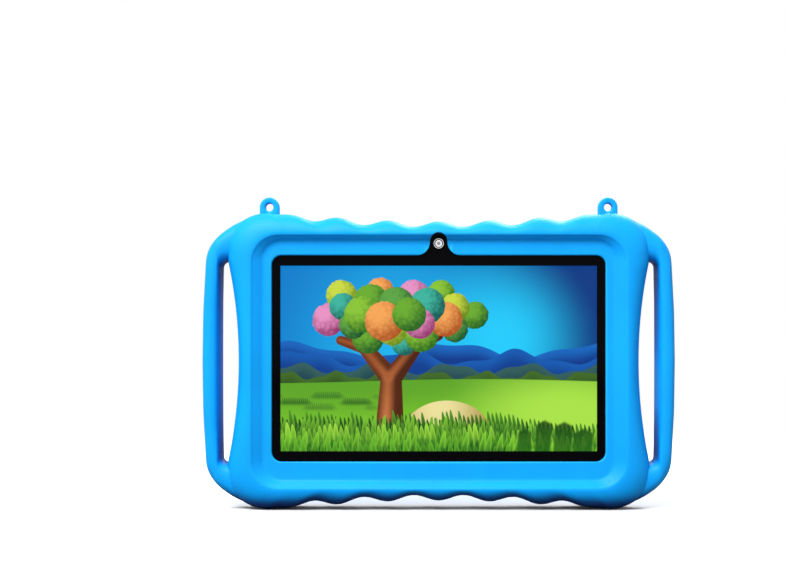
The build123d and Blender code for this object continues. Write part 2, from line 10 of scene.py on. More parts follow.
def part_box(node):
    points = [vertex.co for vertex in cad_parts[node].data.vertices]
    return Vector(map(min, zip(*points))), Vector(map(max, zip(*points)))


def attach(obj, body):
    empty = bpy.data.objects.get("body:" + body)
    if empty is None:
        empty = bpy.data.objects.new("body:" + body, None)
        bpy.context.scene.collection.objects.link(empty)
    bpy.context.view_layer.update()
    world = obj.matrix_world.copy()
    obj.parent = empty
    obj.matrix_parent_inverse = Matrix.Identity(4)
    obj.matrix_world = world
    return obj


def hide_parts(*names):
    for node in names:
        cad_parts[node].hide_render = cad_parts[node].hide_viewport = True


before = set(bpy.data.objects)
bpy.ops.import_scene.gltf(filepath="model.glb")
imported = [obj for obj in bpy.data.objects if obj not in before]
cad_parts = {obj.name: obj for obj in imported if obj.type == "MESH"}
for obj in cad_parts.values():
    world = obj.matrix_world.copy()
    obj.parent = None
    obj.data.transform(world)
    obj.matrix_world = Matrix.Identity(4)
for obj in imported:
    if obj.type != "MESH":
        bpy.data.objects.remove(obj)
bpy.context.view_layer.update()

MM = 0.001


# ---- places taken from the frame, in millimetres ----

def box_mm(node):
    """Lowest and highest corner of a CAD node, in millimetres."""
    low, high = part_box(node)
    return np.array(low) / MM, np.array(high) / MM


def middle(node):
    """Centre of a CAD node's box, in millimetres."""
    low, high = box_mm(node)
    return (low + high) / 2


case_high = box_mm("silicone_case")[1]
SCREEN_Z = middle("display_panel")[2]
HALF_DEPTH = case_high[1]
HANDLE_OUTER = case_high[0]

# ---- the case's own shape, in millimetres from the case's centre unless named otherwise ----

CASE_Z = 72.2
SCREEN_UP = SCREEN_Z - CASE_Z

WAVE_MEAN, WAVE_RISE, WAVE_HEIGHT, HALF_WAVE = 66.6, 0.00078, 1.5, 12.25
WAVE_FADE = 22.0
CORNER_X, CORNER_TOP, CORNER_SIDE, CORNER_SHOULDER = 83.0, 72.2, 102.8, 55.5
WAIST, WAIST_RISE = 97.4, 0.0022
OUTLINE_POINTS = 960
OUTLINE_SOFTNESS = 1.5

OPENING = (161.3, 99.7, 4.75)
LIP_FLAT = (170.0, 115.7, 10.0)
LIP_TOP = (179.4, 121.0, 13.0)
LIP_UP = SCREEN_UP - 1.1
LIP_TOP_UP = SCREEN_UP - 1.4
LIP_FRONT = 10.6
RECESS_MOUTH = (173.8, 113.4, 11.8)
RECESS_FLOOR = (169.2, 108.8, 9.5)
RECESS_UP = SCREEN_UP - 1.5
PANEL_REAR = 4.3
PANEL_FRONT = box_mm("rear_cover")[1][1] + 0.3
GLASS_FRONT = -box_mm("cover_glass")[0][1]
CAVITY = (182.6, 118.6, 10.0)
CAVITY_UP = middle("rear_cover")[2] - CASE_Z

FACET_SIDE = 12.33
FACET_ROW = 10.45
FACET_DEPTH = 0.75
CREASE_DEGREES = 34

HANDLE_INNER = 106.5
HANDLE_HALF_DEPTH = 9.0
HANDLE_SQUARENESS, LUG_SQUARENESS = 2.8, 4.5
FINGER_SLOT = (14.5, 98.4, 3.6)
SLOT_UP = -0.5
LUG_X, LUG_UP, LUG_RADIUS, LUG_HOLE = 83.0, SCREEN_UP + 74.2, 4.8, 1.9
LUG_HALF_DEPTH = 2.0
LUG_REACH = 12.0

PAD_REAR = box_mm("kickstand_frame")[1][1]

NOTCH_TOP, NOTCH_HALF, NOTCH_FLARE = SCREEN_UP + 60.7, 4.25, 6.4
CAMERA_GAP, LENS_ROOM = 1.9, 7.4
RIM_FOOT = 2.0
PORT_UP, PORT_HEIGHT, PORT_INNER, PORT_IN_RECESS = SCREEN_UP - 13.65, 20.3, 81.5, 11.0
PORT_FRONT = -6.5
POCKET_FRONT, HINGE_ROOM_UP = 7.6, 15.0


# ---- outlines: closed lists of (x, up) points, anticlockwise, and curves through them ----

def resample(points, count):
    """The same closed outline with evenly spaced points."""
    closed = np.vstack([points, points[:1]])
    steps = np.hypot(*np.diff(closed, axis=0).T)
    length = np.concatenate([[0], np.cumsum(steps)])
    at = np.linspace(0, length[-1], count, endpoint=False)
    return np.column_stack([np.interp(at, length, closed[:, axis]) for axis in (0, 1)])


def soften(points, reach):
    """Round off an evenly spaced closed outline over a distance, in millimetres."""
    perimeter = np.hypot(*(np.roll(points, -1, axis=0) - points).T).sum()
    turns = np.fft.fftfreq(len(points), perimeter / len(points))
    blur = np.exp(-2 * (math.pi * turns * reach) ** 2)
    return np.column_stack([np.fft.ifft(np.fft.fft(points[:, axis]) * blur).real for axis in (0, 1)])


def arc(centre, radii, start, stop, count=24):
    """Points on an elliptical arc between two angles in degrees."""
    angles = np.radians(np.linspace(start, stop, count))
    x = centre[0] + radii[0] * np.cos(angles)
    up = centre[1] + radii[1] * np.sin(angles)
    return np.column_stack([x, up])


def rounded_rectangle(size, up=0.0, across=0.0, count=2400):
    """A rounded rectangle of width, height and corner radius."""
    width, height, corner = size
    x, z = width / 2 - corner, height / 2 - corner
    corners = [arc((sx * x, sz * z), (corner, corner), 90 * quarter, 90 * quarter + 90)
               for quarter, (sx, sz) in enumerate(((1, 1), (-1, 1), (-1, -1), (1, -1)))]
    return resample(np.vstack(corners) + (across, up), count)


def case_outline():
    """The bumper's outline: waves along the top and bottom, bulging corners, waisted sides."""
    x = np.linspace(0, CORNER_X, 200)
    fade = np.clip((CORNER_X - x) / WAVE_FADE, 0, 1)
    wave = WAVE_MEAN + WAVE_RISE * x * x + WAVE_HEIGHT * fade * np.cos(math.pi * x / HALF_WAVE)
    top = np.column_stack([x, wave])[::-1]
    z = np.linspace(0, CORNER_SHOULDER - 4, 100)
    side = np.column_stack([np.minimum(WAIST + WAIST_RISE * z * z, CORNER_SIDE), z])
    bulge_radii = (CORNER_SIDE - CORNER_X, CORNER_TOP - CORNER_SHOULDER)
    bulge = arc((CORNER_X, CORNER_SHOULDER), bulge_radii, 0, 90)
    quarter = np.vstack([side, bulge, top])
    left = (quarter * (-1, 1))[::-1]
    upper = np.vstack([quarter, left])
    lower = (upper * (1, -1))[::-1]
    return soften(resample(np.vstack([upper, lower]), OUTLINE_POINTS), OUTLINE_SOFTNESS)


def radius_at(outline, centre, angles):
    """Distance from a centre to an outline along each of the given directions."""
    offset = outline - centre
    direction = np.arctan2(offset[:, 1], offset[:, 0])
    order = np.argsort(direction)
    return np.interp(angles, direction[order], np.hypot(*offset.T)[order], period=2 * math.pi)


# ---- meshes ----

def new_piece(name, points, faces):
    """A mesh object from points in millimetres, with its faces turned outwards."""
    mesh = bpy.data.meshes.new(name)
    corners = (np.asarray(points, float) * MM).tolist()
    mesh.from_pydata(corners, [], [[int(corner) for corner in face] for face in faces])
    cleaner = bmesh.new()
    cleaner.from_mesh(mesh)
    bmesh.ops.recalc_face_normals(cleaner, faces=cleaner.faces)
    cleaner.to_mesh(mesh)
    cleaner.free()
    piece = bpy.data.objects.new(name, mesh)
    bpy.context.scene.collection.objects.link(piece)
    return piece


def band_faces(loops, count, closed=False):
    """Quads between successive loops of the same number of points."""
    faces = []
    for lower in range(loops if closed else loops - 1):
        upper = (lower + 1) % loops
        for point in range(count):
            beside = (point + 1) % count
            faces.append((lower * count + point, lower * count + beside,
                          upper * count + beside, upper * count + point))
    return faces


def loop_points(centre, angles, radius, depth):
    """One loop of points round a centre, at a depth."""
    x = centre[0] + radius * np.cos(angles)
    z = CASE_Z + centre[1] + radius * np.sin(angles)
    return np.column_stack([x, np.broadcast_to(depth, x.shape), z])


def ring_solid(name, inner, outer, centre, half_depth, squareness, sections):
    """A closed ring between two outlines; its cross-section is an ellipse at 2, squarer above."""
    count = len(outer)
    offset = outer - centre
    angles = np.arctan2(offset[:, 1], offset[:, 0])
    inside, outside = radius_at(inner, centre, angles), np.hypot(*offset.T)
    points = []
    for step in range(sections):
        turn = 2 * math.pi * step / sections
        across = math.copysign(abs(math.cos(turn)) ** (2 / squareness), math.cos(turn))
        along = math.copysign(abs(math.sin(turn)) ** (2 / squareness), math.sin(turn))
        share = 0.5 + 0.5 * across
        reach = inside + share * (outside - inside)
        points.append(loop_points(centre, angles, reach, half_depth * along))
    return new_piece(name, np.vstack(points), band_faces(sections, count, closed=True))


def stacked_solid(name, sections):
    """A solid through a stack of (outline, depth) sections with flat ends."""
    count = len(sections[0][0])
    points = [np.column_stack([outline[:, 0], np.full(count, depth), CASE_Z + outline[:, 1]])
              for outline, depth in sections]
    last = (len(sections) - 1) * count
    ends = [list(range(count)), list(range(last, last + count))]
    return new_piece(name, np.vstack(points), band_faces(len(sections), count) + ends)


def combine(piece, tool, operation):
    """Join a tool to a piece, or cut it away, and discard the tool."""
    change = piece.modifiers.new("combine", "BOOLEAN")
    change.operation = operation
    change.solver = "EXACT"
    change.object = tool
    graph = bpy.context.evaluated_depsgraph_get()
    mesh = bpy.data.meshes.new_from_object(piece.evaluated_get(graph))
    piece.modifiers.clear()
    piece.data = mesh
    bpy.data.objects.remove(tool)


# ---- silicone bumper case ----

def facet_dip(x, up):
    """Depth of the recess floor's shallow hexagonal dimples, zero along the hexagons' edges."""
    dip = np.zeros_like(x)
    for column in range(-5, 6):
        for row in range(-4, 5):
            across = (x - column * 1.5 * FACET_SIDE) / FACET_SIDE
            lift = (up - (2 * row + column % 2) * FACET_ROW - RECESS_UP) / FACET_ROW * math.sqrt(0.75)
            reach = np.max([np.abs(across * math.cos(a) + lift * math.sin(a))
                            for a in np.radians([90, 30, -30])], axis=0)
            dip = np.maximum(dip, 1 - reach / math.sqrt(0.75))
    return FACET_DEPTH * np.clip(dip, 0, 1)


def facet_lattice():
    """Corners and centres of the floor's hexagons."""
    corners = []
    for column in range(-16, 17):
        for row in range(-6, 7):
            if (column + row) % 2 == 0:
                corners.append((column * FACET_SIDE / 2, row * FACET_ROW + RECESS_UP))
    return np.array(corners)


def floor_patch(rim):
    """Triangles that close the recess floor inside its rim, following the dimples."""
    lattice = facet_lattice()
    centre = np.array((0.0, RECESS_UP))
    offset = lattice - centre
    direction = np.arctan2(offset[:, 1], offset[:, 0])
    clear = np.hypot(*offset.T) < radius_at(rim, centre, direction) - 1.5
    lattice = lattice[clear]
    gaps = np.hypot(*(lattice[:, None] - lattice[None]).transpose(2, 0, 1))
    near = np.argwhere((gaps > 1) & (gaps < FACET_SIDE * 1.05))
    count = len(rim)
    edges = [(int(a) + count, int(b) + count) for a, b in near if a < b]
    points = [Vector(point) for point in np.vstack([rim, lattice])]
    found = delaunay_2d_cdt(points, edges, [list(range(count))], 1, 1e-6)
    flat = np.array([tuple(point) for point in found[0]])
    origin = [list(group)[0] if len(group) else -1 for group in found[3]]
    return flat, found[2], origin


def bumper_loops(outline, centre, angles):
    """(radius, depth) of each loop, from the tablet's space round the front to the recess floor."""

    def radius(size, up):
        return radius_at(rounded_rectangle(size, up), centre, angles)

    opening = radius(OPENING, SCREEN_UP)
    lip_flat = radius(LIP_FLAT, LIP_UP)
    lip_top = radius(LIP_TOP, LIP_TOP_UP)
    mouth = radius(RECESS_MOUTH, RECESS_UP)
    floor = radius(RECESS_FLOOR, RECESS_UP)
    cavity = radius(CAVITY, CAVITY_UP)
    rim = np.hypot(*outline.T)
    crest_front, crest_rear = lip_top + 0.8, mouth + 3.0
    straight = 4.0
    crown = HALF_DEPTH - straight

    loops = [
        (cavity, PANEL_FRONT),
        (cavity, -GLASS_FRONT - 0.1),
        (opening, -GLASS_FRONT - 0.1),
        (opening, -LIP_FRONT + 0.7),
        (opening + 0.22, -LIP_FRONT + 0.2),
        (opening + 0.7, -LIP_FRONT),
        (opening + 1.2, -LIP_FRONT),
        (lip_flat - 1.6, -LIP_FRONT),
        (lip_flat - 0.7, -LIP_FRONT - 0.05),
        (lip_flat + 0.1, -LIP_FRONT - 0.25),
        (lip_flat + 0.8, -LIP_FRONT - 0.65),
    ]
    slope = HALF_DEPTH - LIP_FRONT - 0.8
    for share in (0.3, 0.5, 0.7, 0.88, 1.0):
        loops.append((lip_flat + share * (lip_top - lip_flat), -LIP_FRONT - 0.3 - slope * share))
    loops.append((lip_top + 0.4, -HALF_DEPTH + 0.14))
    quarter = np.radians(np.linspace(0, 90, 13))
    for turn in quarter:
        reach = crest_front + (rim - crest_front) * math.sin(turn)
        loops.append((reach, -straight - crown * math.cos(turn)))
    loops.append((rim, 0.0))
    for turn in quarter[::-1]:
        reach = crest_rear + (rim - crest_rear) * math.sin(turn)
        loops.append((reach, straight + crown * math.cos(turn)))
    loops += [
        (mouth + 1.3, HALF_DEPTH - 0.1),
        (mouth + 0.6, HALF_DEPTH - 0.45),
        (mouth + 0.15, HALF_DEPTH - 1.1),
        (mouth, HALF_DEPTH - 1.9),
        (floor + 0.25, PANEL_REAR + 1.2),
        (floor, PANEL_REAR + 0.6),
        (floor - 0.4, PANEL_REAR + 0.2),
        (floor - 1.1, PANEL_REAR),
    ]
    return loops


def bumper_body():
    """The bumper with its lip, crowned rim, rear recess and the space that holds the tablet."""
    outline = case_outline()
    centre = np.array((0.0, 0.0))
    angles = np.arctan2(outline[:, 1], outline[:, 0])
    loops = bumper_loops(outline, centre, angles)
    count = len(outline)
    points = [loop_points(centre, angles, reach, depth) for reach, depth in loops]
    rim_points = np.column_stack([points[-1][:, 0], points[-1][:, 2] - CASE_Z])
    points[-1][:, 1] = PANEL_REAR - facet_dip(*rim_points.T)
    flat, triangles, origin = floor_patch(rim_points)
    first_new = len(loops) * count
    index = [first_new - count + source if 0 <= source < count else None for source in origin]
    extra = []
    for position, source in enumerate(index):
        if source is None:
            index[position] = first_new + len(extra)
            x, up = flat[position]
            extra.append((x, PANEL_REAR - facet_dip(np.array([x]), np.array([up]))[0], CASE_Z + up))
    faces = band_faces(len(loops), count)
    faces += [[index[corner] for corner in triangle] for triangle in triangles]
    faces.append(list(range(count)))
    return new_piece("bumper_case", np.vstack(points + [np.array(extra)]), faces)


def grab_handle(side):
    """One side handle: a rounded bar that leaves the bumper's corners, with its finger opening."""
    half = [(100.5, 66.5), (106.0, 62.6), (110.0, 58.7), (112.4, 55.2), (113.6, 51.0), (115.0, 25.0)]
    edge = [(88.0, 68.0), (94.0, 69.6)] + half + [(HANDLE_OUTER, 0.0)]
    lower = [(x, -up) for x, up in edge[:-1]][::-1]
    outer = soften(resample(np.array((edge + lower)[::-1]), 420), 1.6)
    outer[:, 0] *= HANDLE_OUTER / outer[:, 0].max()
    slot = rounded_rectangle(FINGER_SLOT, SLOT_UP, HANDLE_INNER - FINGER_SLOT[0] / 2)
    centre = np.array((HANDLE_INNER - FINGER_SLOT[0] / 2, SLOT_UP))
    mirror = np.array((side, 1.0))
    return ring_solid("handle", slot * mirror, outer * mirror, centre * mirror, HANDLE_HALF_DEPTH,
                      HANDLE_SQUARENESS, 28)


def strap_lug(side):
    """One flat lug with a round strap hole."""
    foot = [(-LUG_RADIUS, -LUG_REACH), (LUG_RADIUS, -LUG_REACH)]
    shape = np.vstack([arc((0, 0), (LUG_RADIUS, LUG_RADIUS), 0, 180), foot])
    outer = resample(shape, 160) + (side * LUG_X, LUG_UP)
    hole = resample(arc((side * LUG_X, LUG_UP), (LUG_HOLE, LUG_HOLE), 0, 357, 120), 400)
    centre = np.array((side * LUG_X, LUG_UP))
    return ring_solid("lug", hole, outer, centre, LUG_HALF_DEPTH, LUG_SQUARENESS, 24)


def kickstand_pad():
    """The raised pad on the recess floor that carries the kickstand."""
    low, high = box_mm("kickstand_frame")
    foot = (51.5, 102.0, 4.5)
    up = (high[2] + low[2]) / 2 - CASE_Z + 0.8
    height = PAD_REAR - PANEL_REAR
    # (growth, height, extra corner radius) of each level, from below the floor to the top
    slopes = [(2.6, -1.2, 2.0), (1.4, 0.05, 1.6), (0.3, 0.6, 1.4), (-1.0, 1.7, 1.2), (-2.6, 3.6, 1.0)]
    slopes += [(-4.6, height - 2.5, 1.0), (-5.8, height - 1.2, 1.0), (-7.0, height - 0.4, 0.8)]
    slopes += [(-8.6, height, 0.5)]
    sections = []
    for grow, depth, corner in slopes:
        size = (foot[0] + grow, foot[1] + grow, foot[2] + grow / 4 + corner)
        sections.append((rounded_rectangle(size, up, count=240), PANEL_REAR + depth))
    return stacked_solid("pad", sections)


def prism(outline, front, rear):
    """A straight prism across the case."""
    return stacked_solid("prism", [(outline, front), (outline, rear)])


def camera_outline(grow):
    """The rear camera opening: a stadium with a larger circle round the lens."""
    low, high = box_mm("rear_camera_trim")
    up = (low[2] + high[2]) / 2 - CASE_Z
    height = high[2] - low[2] + CAMERA_GAP + 2 * grow
    lens = middle("rear_camera_lens")
    width = high[0] - low[0] + CAMERA_GAP + 2 * grow
    stadium = rounded_rectangle((width, height, height / 2 - 0.01), up, (low[0] + high[0]) / 2)
    centre = np.array((lens[0], up))
    angles = np.radians(np.arange(0, 360, 2))
    reach = np.maximum(radius_at(stadium, centre, angles), LENS_ROOM + grow)
    shape = np.column_stack([centre[0] + reach * np.cos(angles), centre[1] + reach * np.sin(angles)])
    return soften(resample(shape, 240), 0.5)


def raised_rim(outline_inner, outline_outer, centre, top):
    """A low rounded rim standing on the recess floor."""
    count = len(outline_outer)
    offset = outline_outer - centre
    angles = np.arctan2(offset[:, 1], offset[:, 0])
    inside, outside = radius_at(outline_inner, centre, angles), np.hypot(*offset.T)
    # (share of the way from the inner outline to the outer one, depth)
    rise = [(0.0, RIM_FOOT), (0.0, top - 0.35), (0.15, top - 0.1), (0.4, top)]
    profile = rise + [(1 - share, depth) for share, depth in rise[::-1]]
    points = [loop_points(centre, angles, inside + share * (outside - inside), depth)
              for share, depth in profile]
    return new_piece("rim", np.vstack(points), band_faces(len(profile), count, closed=True))


def camera_notch():
    """The front window's notch for the camera, with its flared foot."""
    half, flare = NOTCH_HALF, NOTCH_FLARE
    window_top = SCREEN_UP + OPENING[1] / 2
    right = arc((half + flare, window_top + flare), (flare, flare), 270, 180, 12)
    left = arc((-half - flare, window_top + flare), (flare, flare), 0, -90, 12)
    crown = arc((0, NOTCH_TOP - half), (half, half), 0, 180, 24)
    foot = [(-half - flare, window_top - 1.5), (half + flare, window_top - 1.5)]
    return prism(np.vstack([right, crown, left, foot]), -HALF_DEPTH - 3, -GLASS_FRONT)


def port_cutout():
    """The cut-out through the rear of the bumper beside the tablet's ports."""
    width = 24.0
    size = (width, PORT_HEIGHT, 2.5)
    outline = rounded_rectangle(size, PORT_UP, PORT_INNER + width / 2, 240)
    return prism(outline, PORT_FRONT, HALF_DEPTH + 3)


def port_rim():
    """A raised rim round the part of the port cut-out that lies in the recess."""
    across = PORT_INNER + PORT_IN_RECESS / 2
    inner = rounded_rectangle((PORT_IN_RECESS, PORT_HEIGHT, 2.5), PORT_UP, across)
    outer = rounded_rectangle((PORT_IN_RECESS + 2.4, PORT_HEIGHT + 2.4, 3.6), PORT_UP, across, 240)
    return raised_rim(inner, outer, np.array((across, PORT_UP)), PANEL_REAR + 0.9)


def button_room(button):
    """Room above one of the tablet's buttons, open to the tablet's own space."""
    low, high = box_mm(button)
    size = (high[0] - low[0] + 1.0, high[2] - low[2] + 0.8, 0.8)
    outline = rounded_rectangle(size, (low[2] + high[2]) / 2 - CASE_Z, (low[0] + high[0]) / 2, 80)
    return prism(outline, low[1] - 0.4, high[1] + 0.4)


def kickstand_pocket(front, bottom):
    """Room in the pad for the kickstand's frame, from a depth to the pad's face, above a height."""
    low, high = box_mm("kickstand_frame")
    size = (high[0] - low[0] + 0.2, high[2] - bottom + 0.2, 2.5)
    outline = rounded_rectangle(size, (high[2] + bottom) / 2 - CASE_Z, 0, 120)
    return prism(outline, front, PAD_REAR + 2)


def silicone_case():
    """The whole silicone moulding as one closed mesh."""
    case = bumper_body()
    for side in (-1, 1):
        combine(case, grab_handle(side), "UNION")
        combine(case, strap_lug(side), "UNION")
    combine(case, kickstand_pad(), "UNION")
    lens = middle("rear_camera_lens")
    camera_centre = np.array((lens[0], lens[2] - CASE_Z))
    camera_rim = raised_rim(camera_outline(0.0), camera_outline(1.1), camera_centre, PANEL_REAR + 1.6)
    combine(case, prism(camera_outline(1.6), PANEL_REAR, PAD_REAR + 8), "DIFFERENCE")
    combine(case, camera_rim, "UNION")
    combine(case, prism(camera_outline(0.0), PANEL_FRONT - 1, PAD_REAR + 8), "DIFFERENCE")
    combine(case, port_rim(), "UNION")
    combine(case, port_cutout(), "DIFFERENCE")
    combine(case, camera_notch(), "DIFFERENCE")
    frame_low = box_mm("kickstand_frame")[0]
    combine(case, kickstand_pocket(POCKET_FRONT, frame_low[2]), "DIFFERENCE")
    combine(case, kickstand_pocket(frame_low[1] - 0.1, HINGE_ROOM_UP + SCREEN_Z), "DIFFERENCE")
    for button in ("power_button", "volume_up_button", "volume_down_button"):
        combine(case, button_room(button), "DIFFERENCE")
    finish_surface(case)
    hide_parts("silicone_case")
    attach(case, "tablet")
    return case


def finish_surface(case):
    """Smooth shading with crisp creases, and flat facets on the recess floor."""
    for face in case.data.polygons:
        face.use_smooth = True
    case.data.set_sharp_from_angle(angle=math.radians(CREASE_DEGREES))
    for face in case.data.polygons:
        at_floor = abs(face.center.y / MM - PANEL_REAR + FACET_DEPTH / 2) < FACET_DEPTH
        face.use_smooth = not (at_floor and face.normal.y > 0.98)


# ---- materials ----

# Reach of the painted shade in crevices and in the finger slots, and the colour of the painted shade in
# the slots.
GAP_REACH, SLOT_REACH = 14.0, 22.0
SLOT_SHADE_BLUE = (4, 44, 112)
LIT_HALF_WIDTH, LIT_HALF_HEIGHT = 76.7, 44.95
CAMERA_CLEAR = 2.5
FRONT_CAMERA_RINGS = ((0.85, (150, 138, 156)), (1.65, (240, 240, 242)), (2.15, (6, 6, 8)),
                      (3.0, (240, 240, 242)))
REAR_CAMERA_RINGS = ((0.8, (10, 14, 24)), (1.5, (30, 62, 74)), (2.1, (8, 10, 14)), (2.4, (76, 82, 90)),
                     (4.0, (10, 10, 12)))


class Field:
    """A number or vector in a material's nodes; arithmetic on it adds nodes."""

    def __init__(self, tree, socket):
        self.tree, self.socket = tree, socket

    def math(self, operation, *others):
        node = self.tree.nodes.new("ShaderNodeMath")
        node.operation = operation
        for position, value in enumerate((self,) + others):
            if isinstance(value, Field):
                self.tree.links.new(value.socket, node.inputs[position])
            else:
                node.inputs[position].default_value = value
        return Field(self.tree, node.outputs[0])

    def __add__(self, other):
        return self.math("ADD", other)

    __radd__ = __add__

    def __sub__(self, other):
        return self.math("SUBTRACT", other)

    def __rsub__(self, other):
        return (self * -1.0) + other

    def __mul__(self, other):
        return self.math("MULTIPLY", other)

    __rmul__ = __mul__

    def __truediv__(self, other):
        return self.math("DIVIDE", other)

    def step(self, low, high):
        """0 below low, 1 above high, smooth between."""
        node = self.tree.nodes.new("ShaderNodeMapRange")
        node.interpolation_type = "SMOOTHSTEP"
        self.tree.links.new(self.socket, node.inputs["Value"])
        node.inputs["From Min"].default_value = low
        node.inputs["From Max"].default_value = high
        return Field(self.tree, node.outputs["Result"])


def linear(colour):
    """An sRGB colour, 0 to 255, as the linear colour that nodes use."""
    share = [channel / 255 for channel in colour]
    return tuple(c / 12.92 if c <= 0.04045 else ((c + 0.055) / 1.055) ** 2.4 for c in share) + (1.0,)


def mix_colours(tree, factor, below, above):
    """The colour above over the colour below, by a factor."""
    node = tree.nodes.new("ShaderNodeMix")
    node.data_type = "RGBA"
    tree.links.new(factor.socket, node.inputs[0])
    for value, socket in ((below, node.inputs[6]), (above, node.inputs[7])):
        if isinstance(value, tuple):
            socket.default_value = value
        else:
            tree.links.new(value, socket)
    return node.outputs[2]


def start_material(name):
    """A new node material; returns it with its tree and shader."""
    made = bpy.data.materials.new(name)
    made.use_nodes = True
    return made, made.node_tree, made.node_tree.nodes["Principled BSDF"]


def position(tree):
    """Object coordinates in millimetres, as a vector socket."""
    where = tree.nodes.new("ShaderNodeTexCoord")
    scale = tree.nodes.new("ShaderNodeVectorMath")
    scale.operation = "SCALE"
    scale.inputs["Scale"].default_value = 1 / MM
    tree.links.new(where.outputs["Object"], scale.inputs[0])
    return scale.outputs[0]


def noise(tree, where, scale, detail=2.0):
    """Noise of about one lump per 1/scale millimetres."""
    node = tree.nodes.new("ShaderNodeTexNoise")
    node.inputs["Scale"].default_value = scale
    node.inputs["Detail"].default_value = detail
    tree.links.new(where, node.inputs["Vector"])
    return Field(tree, node.outputs[0])


def bump(tree, height, strength, distance):
    """Surface relief from a height field; distance is in millimetres."""
    node = tree.nodes.new("ShaderNodeBump")
    node.inputs["Strength"].default_value = strength
    node.inputs["Distance"].default_value = distance * MM
    tree.links.new(height.socket, node.inputs["Height"])
    return node.outputs[0]


def crevices(tree, reach):
    """0 deep inside gaps narrower than the reach, in millimetres, and 1 on open surfaces."""
    node = tree.nodes.new("ShaderNodeAmbientOcclusion")
    node.samples = 6
    node.inputs["Distance"].default_value = reach * MM
    return Field(tree, node.outputs["AO"])


def moulded(name, colour, roughness, grain=2.2, grain_height=0.02, tint=0.06, gap_shade=0.0, edge=0.0):
    """Moulded or cast stock: fine surface grain, slight mottling of colour and gloss; gap_shade paints
    shade into crevices.
    """
    made, tree, shader = start_material(name)
    where = position(tree)
    mottling = noise(tree, where, 0.045, 3.0)
    fine = noise(tree, where, grain, 3.0)
    base = linear(colour)
    darker = tuple(channel * (1 - tint) for channel in base[:3]) + (1.0,)
    lighter = tuple(min(1.0, channel * (1 + tint)) for channel in base[:3]) + (1.0,)
    colour_out = mix_colours(tree, mottling.step(0.3, 0.7), darker, lighter)
    # Painted shade: the colour darkens inside crevices, the blue channel least.
    if gap_shade:
        red, green, blue = (channel * (1 - gap_shade) for channel in base[:3])
        shaded = (red, green, 0.3 * blue + 0.7 * base[2], 1.0)
        colour_out = mix_colours(tree, crevices(tree, GAP_REACH).step(0.05, 0.75), shaded, colour_out)
    tree.links.new(colour_out, shader.inputs["Base Color"])
    gloss = mottling * 0.06 + fine * 0.05 + (roughness - 0.055)
    tree.links.new(gloss.socket, shader.inputs["Roughness"])
    relief = bump(tree, fine, 0.5, grain_height)
    tree.links.new(relief, shader.inputs["Normal"])
    if edge:
        rounding = tree.nodes.new("ShaderNodeBevel")
        rounding.inputs["Radius"].default_value = edge * MM
        tree.links.new(rounding.outputs[0], relief.node.inputs["Normal"])
    return made


def silicone():
    """Soft blue silicone: satin, slightly translucent, with a painted highlight on edges and painted
    shade in the finger slots.
    """
    made = moulded("blue_silicone", (4, 165, 253), 0.5, grain=1.6, grain_height=0.03, tint=0.035,
                   gap_shade=0.45, edge=0.4)
    shader = made.node_tree.nodes["Principled BSDF"]
    shader.inputs["Subsurface Weight"].default_value = 0.08
    shader.inputs["Subsurface Radius"].default_value = (0.2, 0.8, 1.0)
    shader.inputs["Subsurface Scale"].default_value = 1.2 * MM
    shader.inputs["Specular IOR Level"].default_value = 0.17
    tree = made.node_tree
    # Painted highlight: a paler blue on sharp convex edges, found from the mesh's pointiness.
    shape = tree.nodes.new("ShaderNodeNewGeometry")
    edge_highlight = Field(tree, shape.outputs["Pointiness"]).step(0.515, 0.56) * 0.45
    under = shader.inputs["Base Color"].links[0].from_socket
    with_edge_highlight = mix_colours(tree, edge_highlight, under, linear((40, 205, 255)))
    # Painted shade: a deep blue wherever the surface lies deep in a narrow gap, as in the finger slots.
    clear_of_slot_shade = crevices(tree, SLOT_REACH).step(0.18, 0.52)
    tree.links.new(mix_colours(tree, clear_of_slot_shade, linear(SLOT_SHADE_BLUE), with_edge_highlight), shader.inputs["Base Color"])
    return made


def brushed(name, colour, roughness, direction=(0.05, 4.0, 4.0)):
    """Metal with fine marks drawn out along one direction."""
    made, tree, shader = start_material(name)
    stretch = tree.nodes.new("ShaderNodeVectorMath")
    stretch.operation = "MULTIPLY"
    stretch.inputs[1].default_value = direction
    tree.links.new(position(tree), stretch.inputs[0])
    marks = noise(tree, stretch.outputs[0], 1.0, 4.0)
    base = linear(colour)
    darker = tuple(channel * 0.8 for channel in base[:3]) + (1.0,)
    tree.links.new(mix_colours(tree, marks.step(0.3, 0.7), darker, base), shader.inputs["Base Color"])
    tree.links.new((marks * 0.15 + roughness).socket, shader.inputs["Roughness"])
    tree.links.new(bump(tree, marks, 0.3, 0.01), shader.inputs["Normal"])
    shader.inputs["Metallic"].default_value = 1.0
    return made


def polished(name, colour, roughness=0.06, metallic=0.0):
    """A glossy surface with a trace of wipe marks."""
    made, tree, shader = start_material(name)
    smears = noise(tree, position(tree), 0.12, 4.0)
    base = linear(colour)
    lighter = tuple(min(1.0, channel * 1.1 + 0.001) for channel in base[:3]) + (1.0,)
    tree.links.new(mix_colours(tree, smears, base, lighter), shader.inputs["Base Color"])
    tree.links.new((smears * 0.05 + roughness).socket, shader.inputs["Roughness"])
    shader.inputs["Metallic"].default_value = metallic
    shader.inputs["Coat Weight"].default_value = 0.3
    return made


def led_with_painted_glint():
    """The flash: a bright yellowish lens, glowing slightly as a painted glint."""
    made = polished("led_lens", (250, 246, 220), 0.15)
    shader = made.node_tree.nodes["Principled BSDF"]
    # Painted glint: the lens glows although the flash is off.
    shader.inputs["Emission Color"].default_value = linear((255, 250, 235))
    shader.inputs["Emission Strength"].default_value = 0.7
    return made


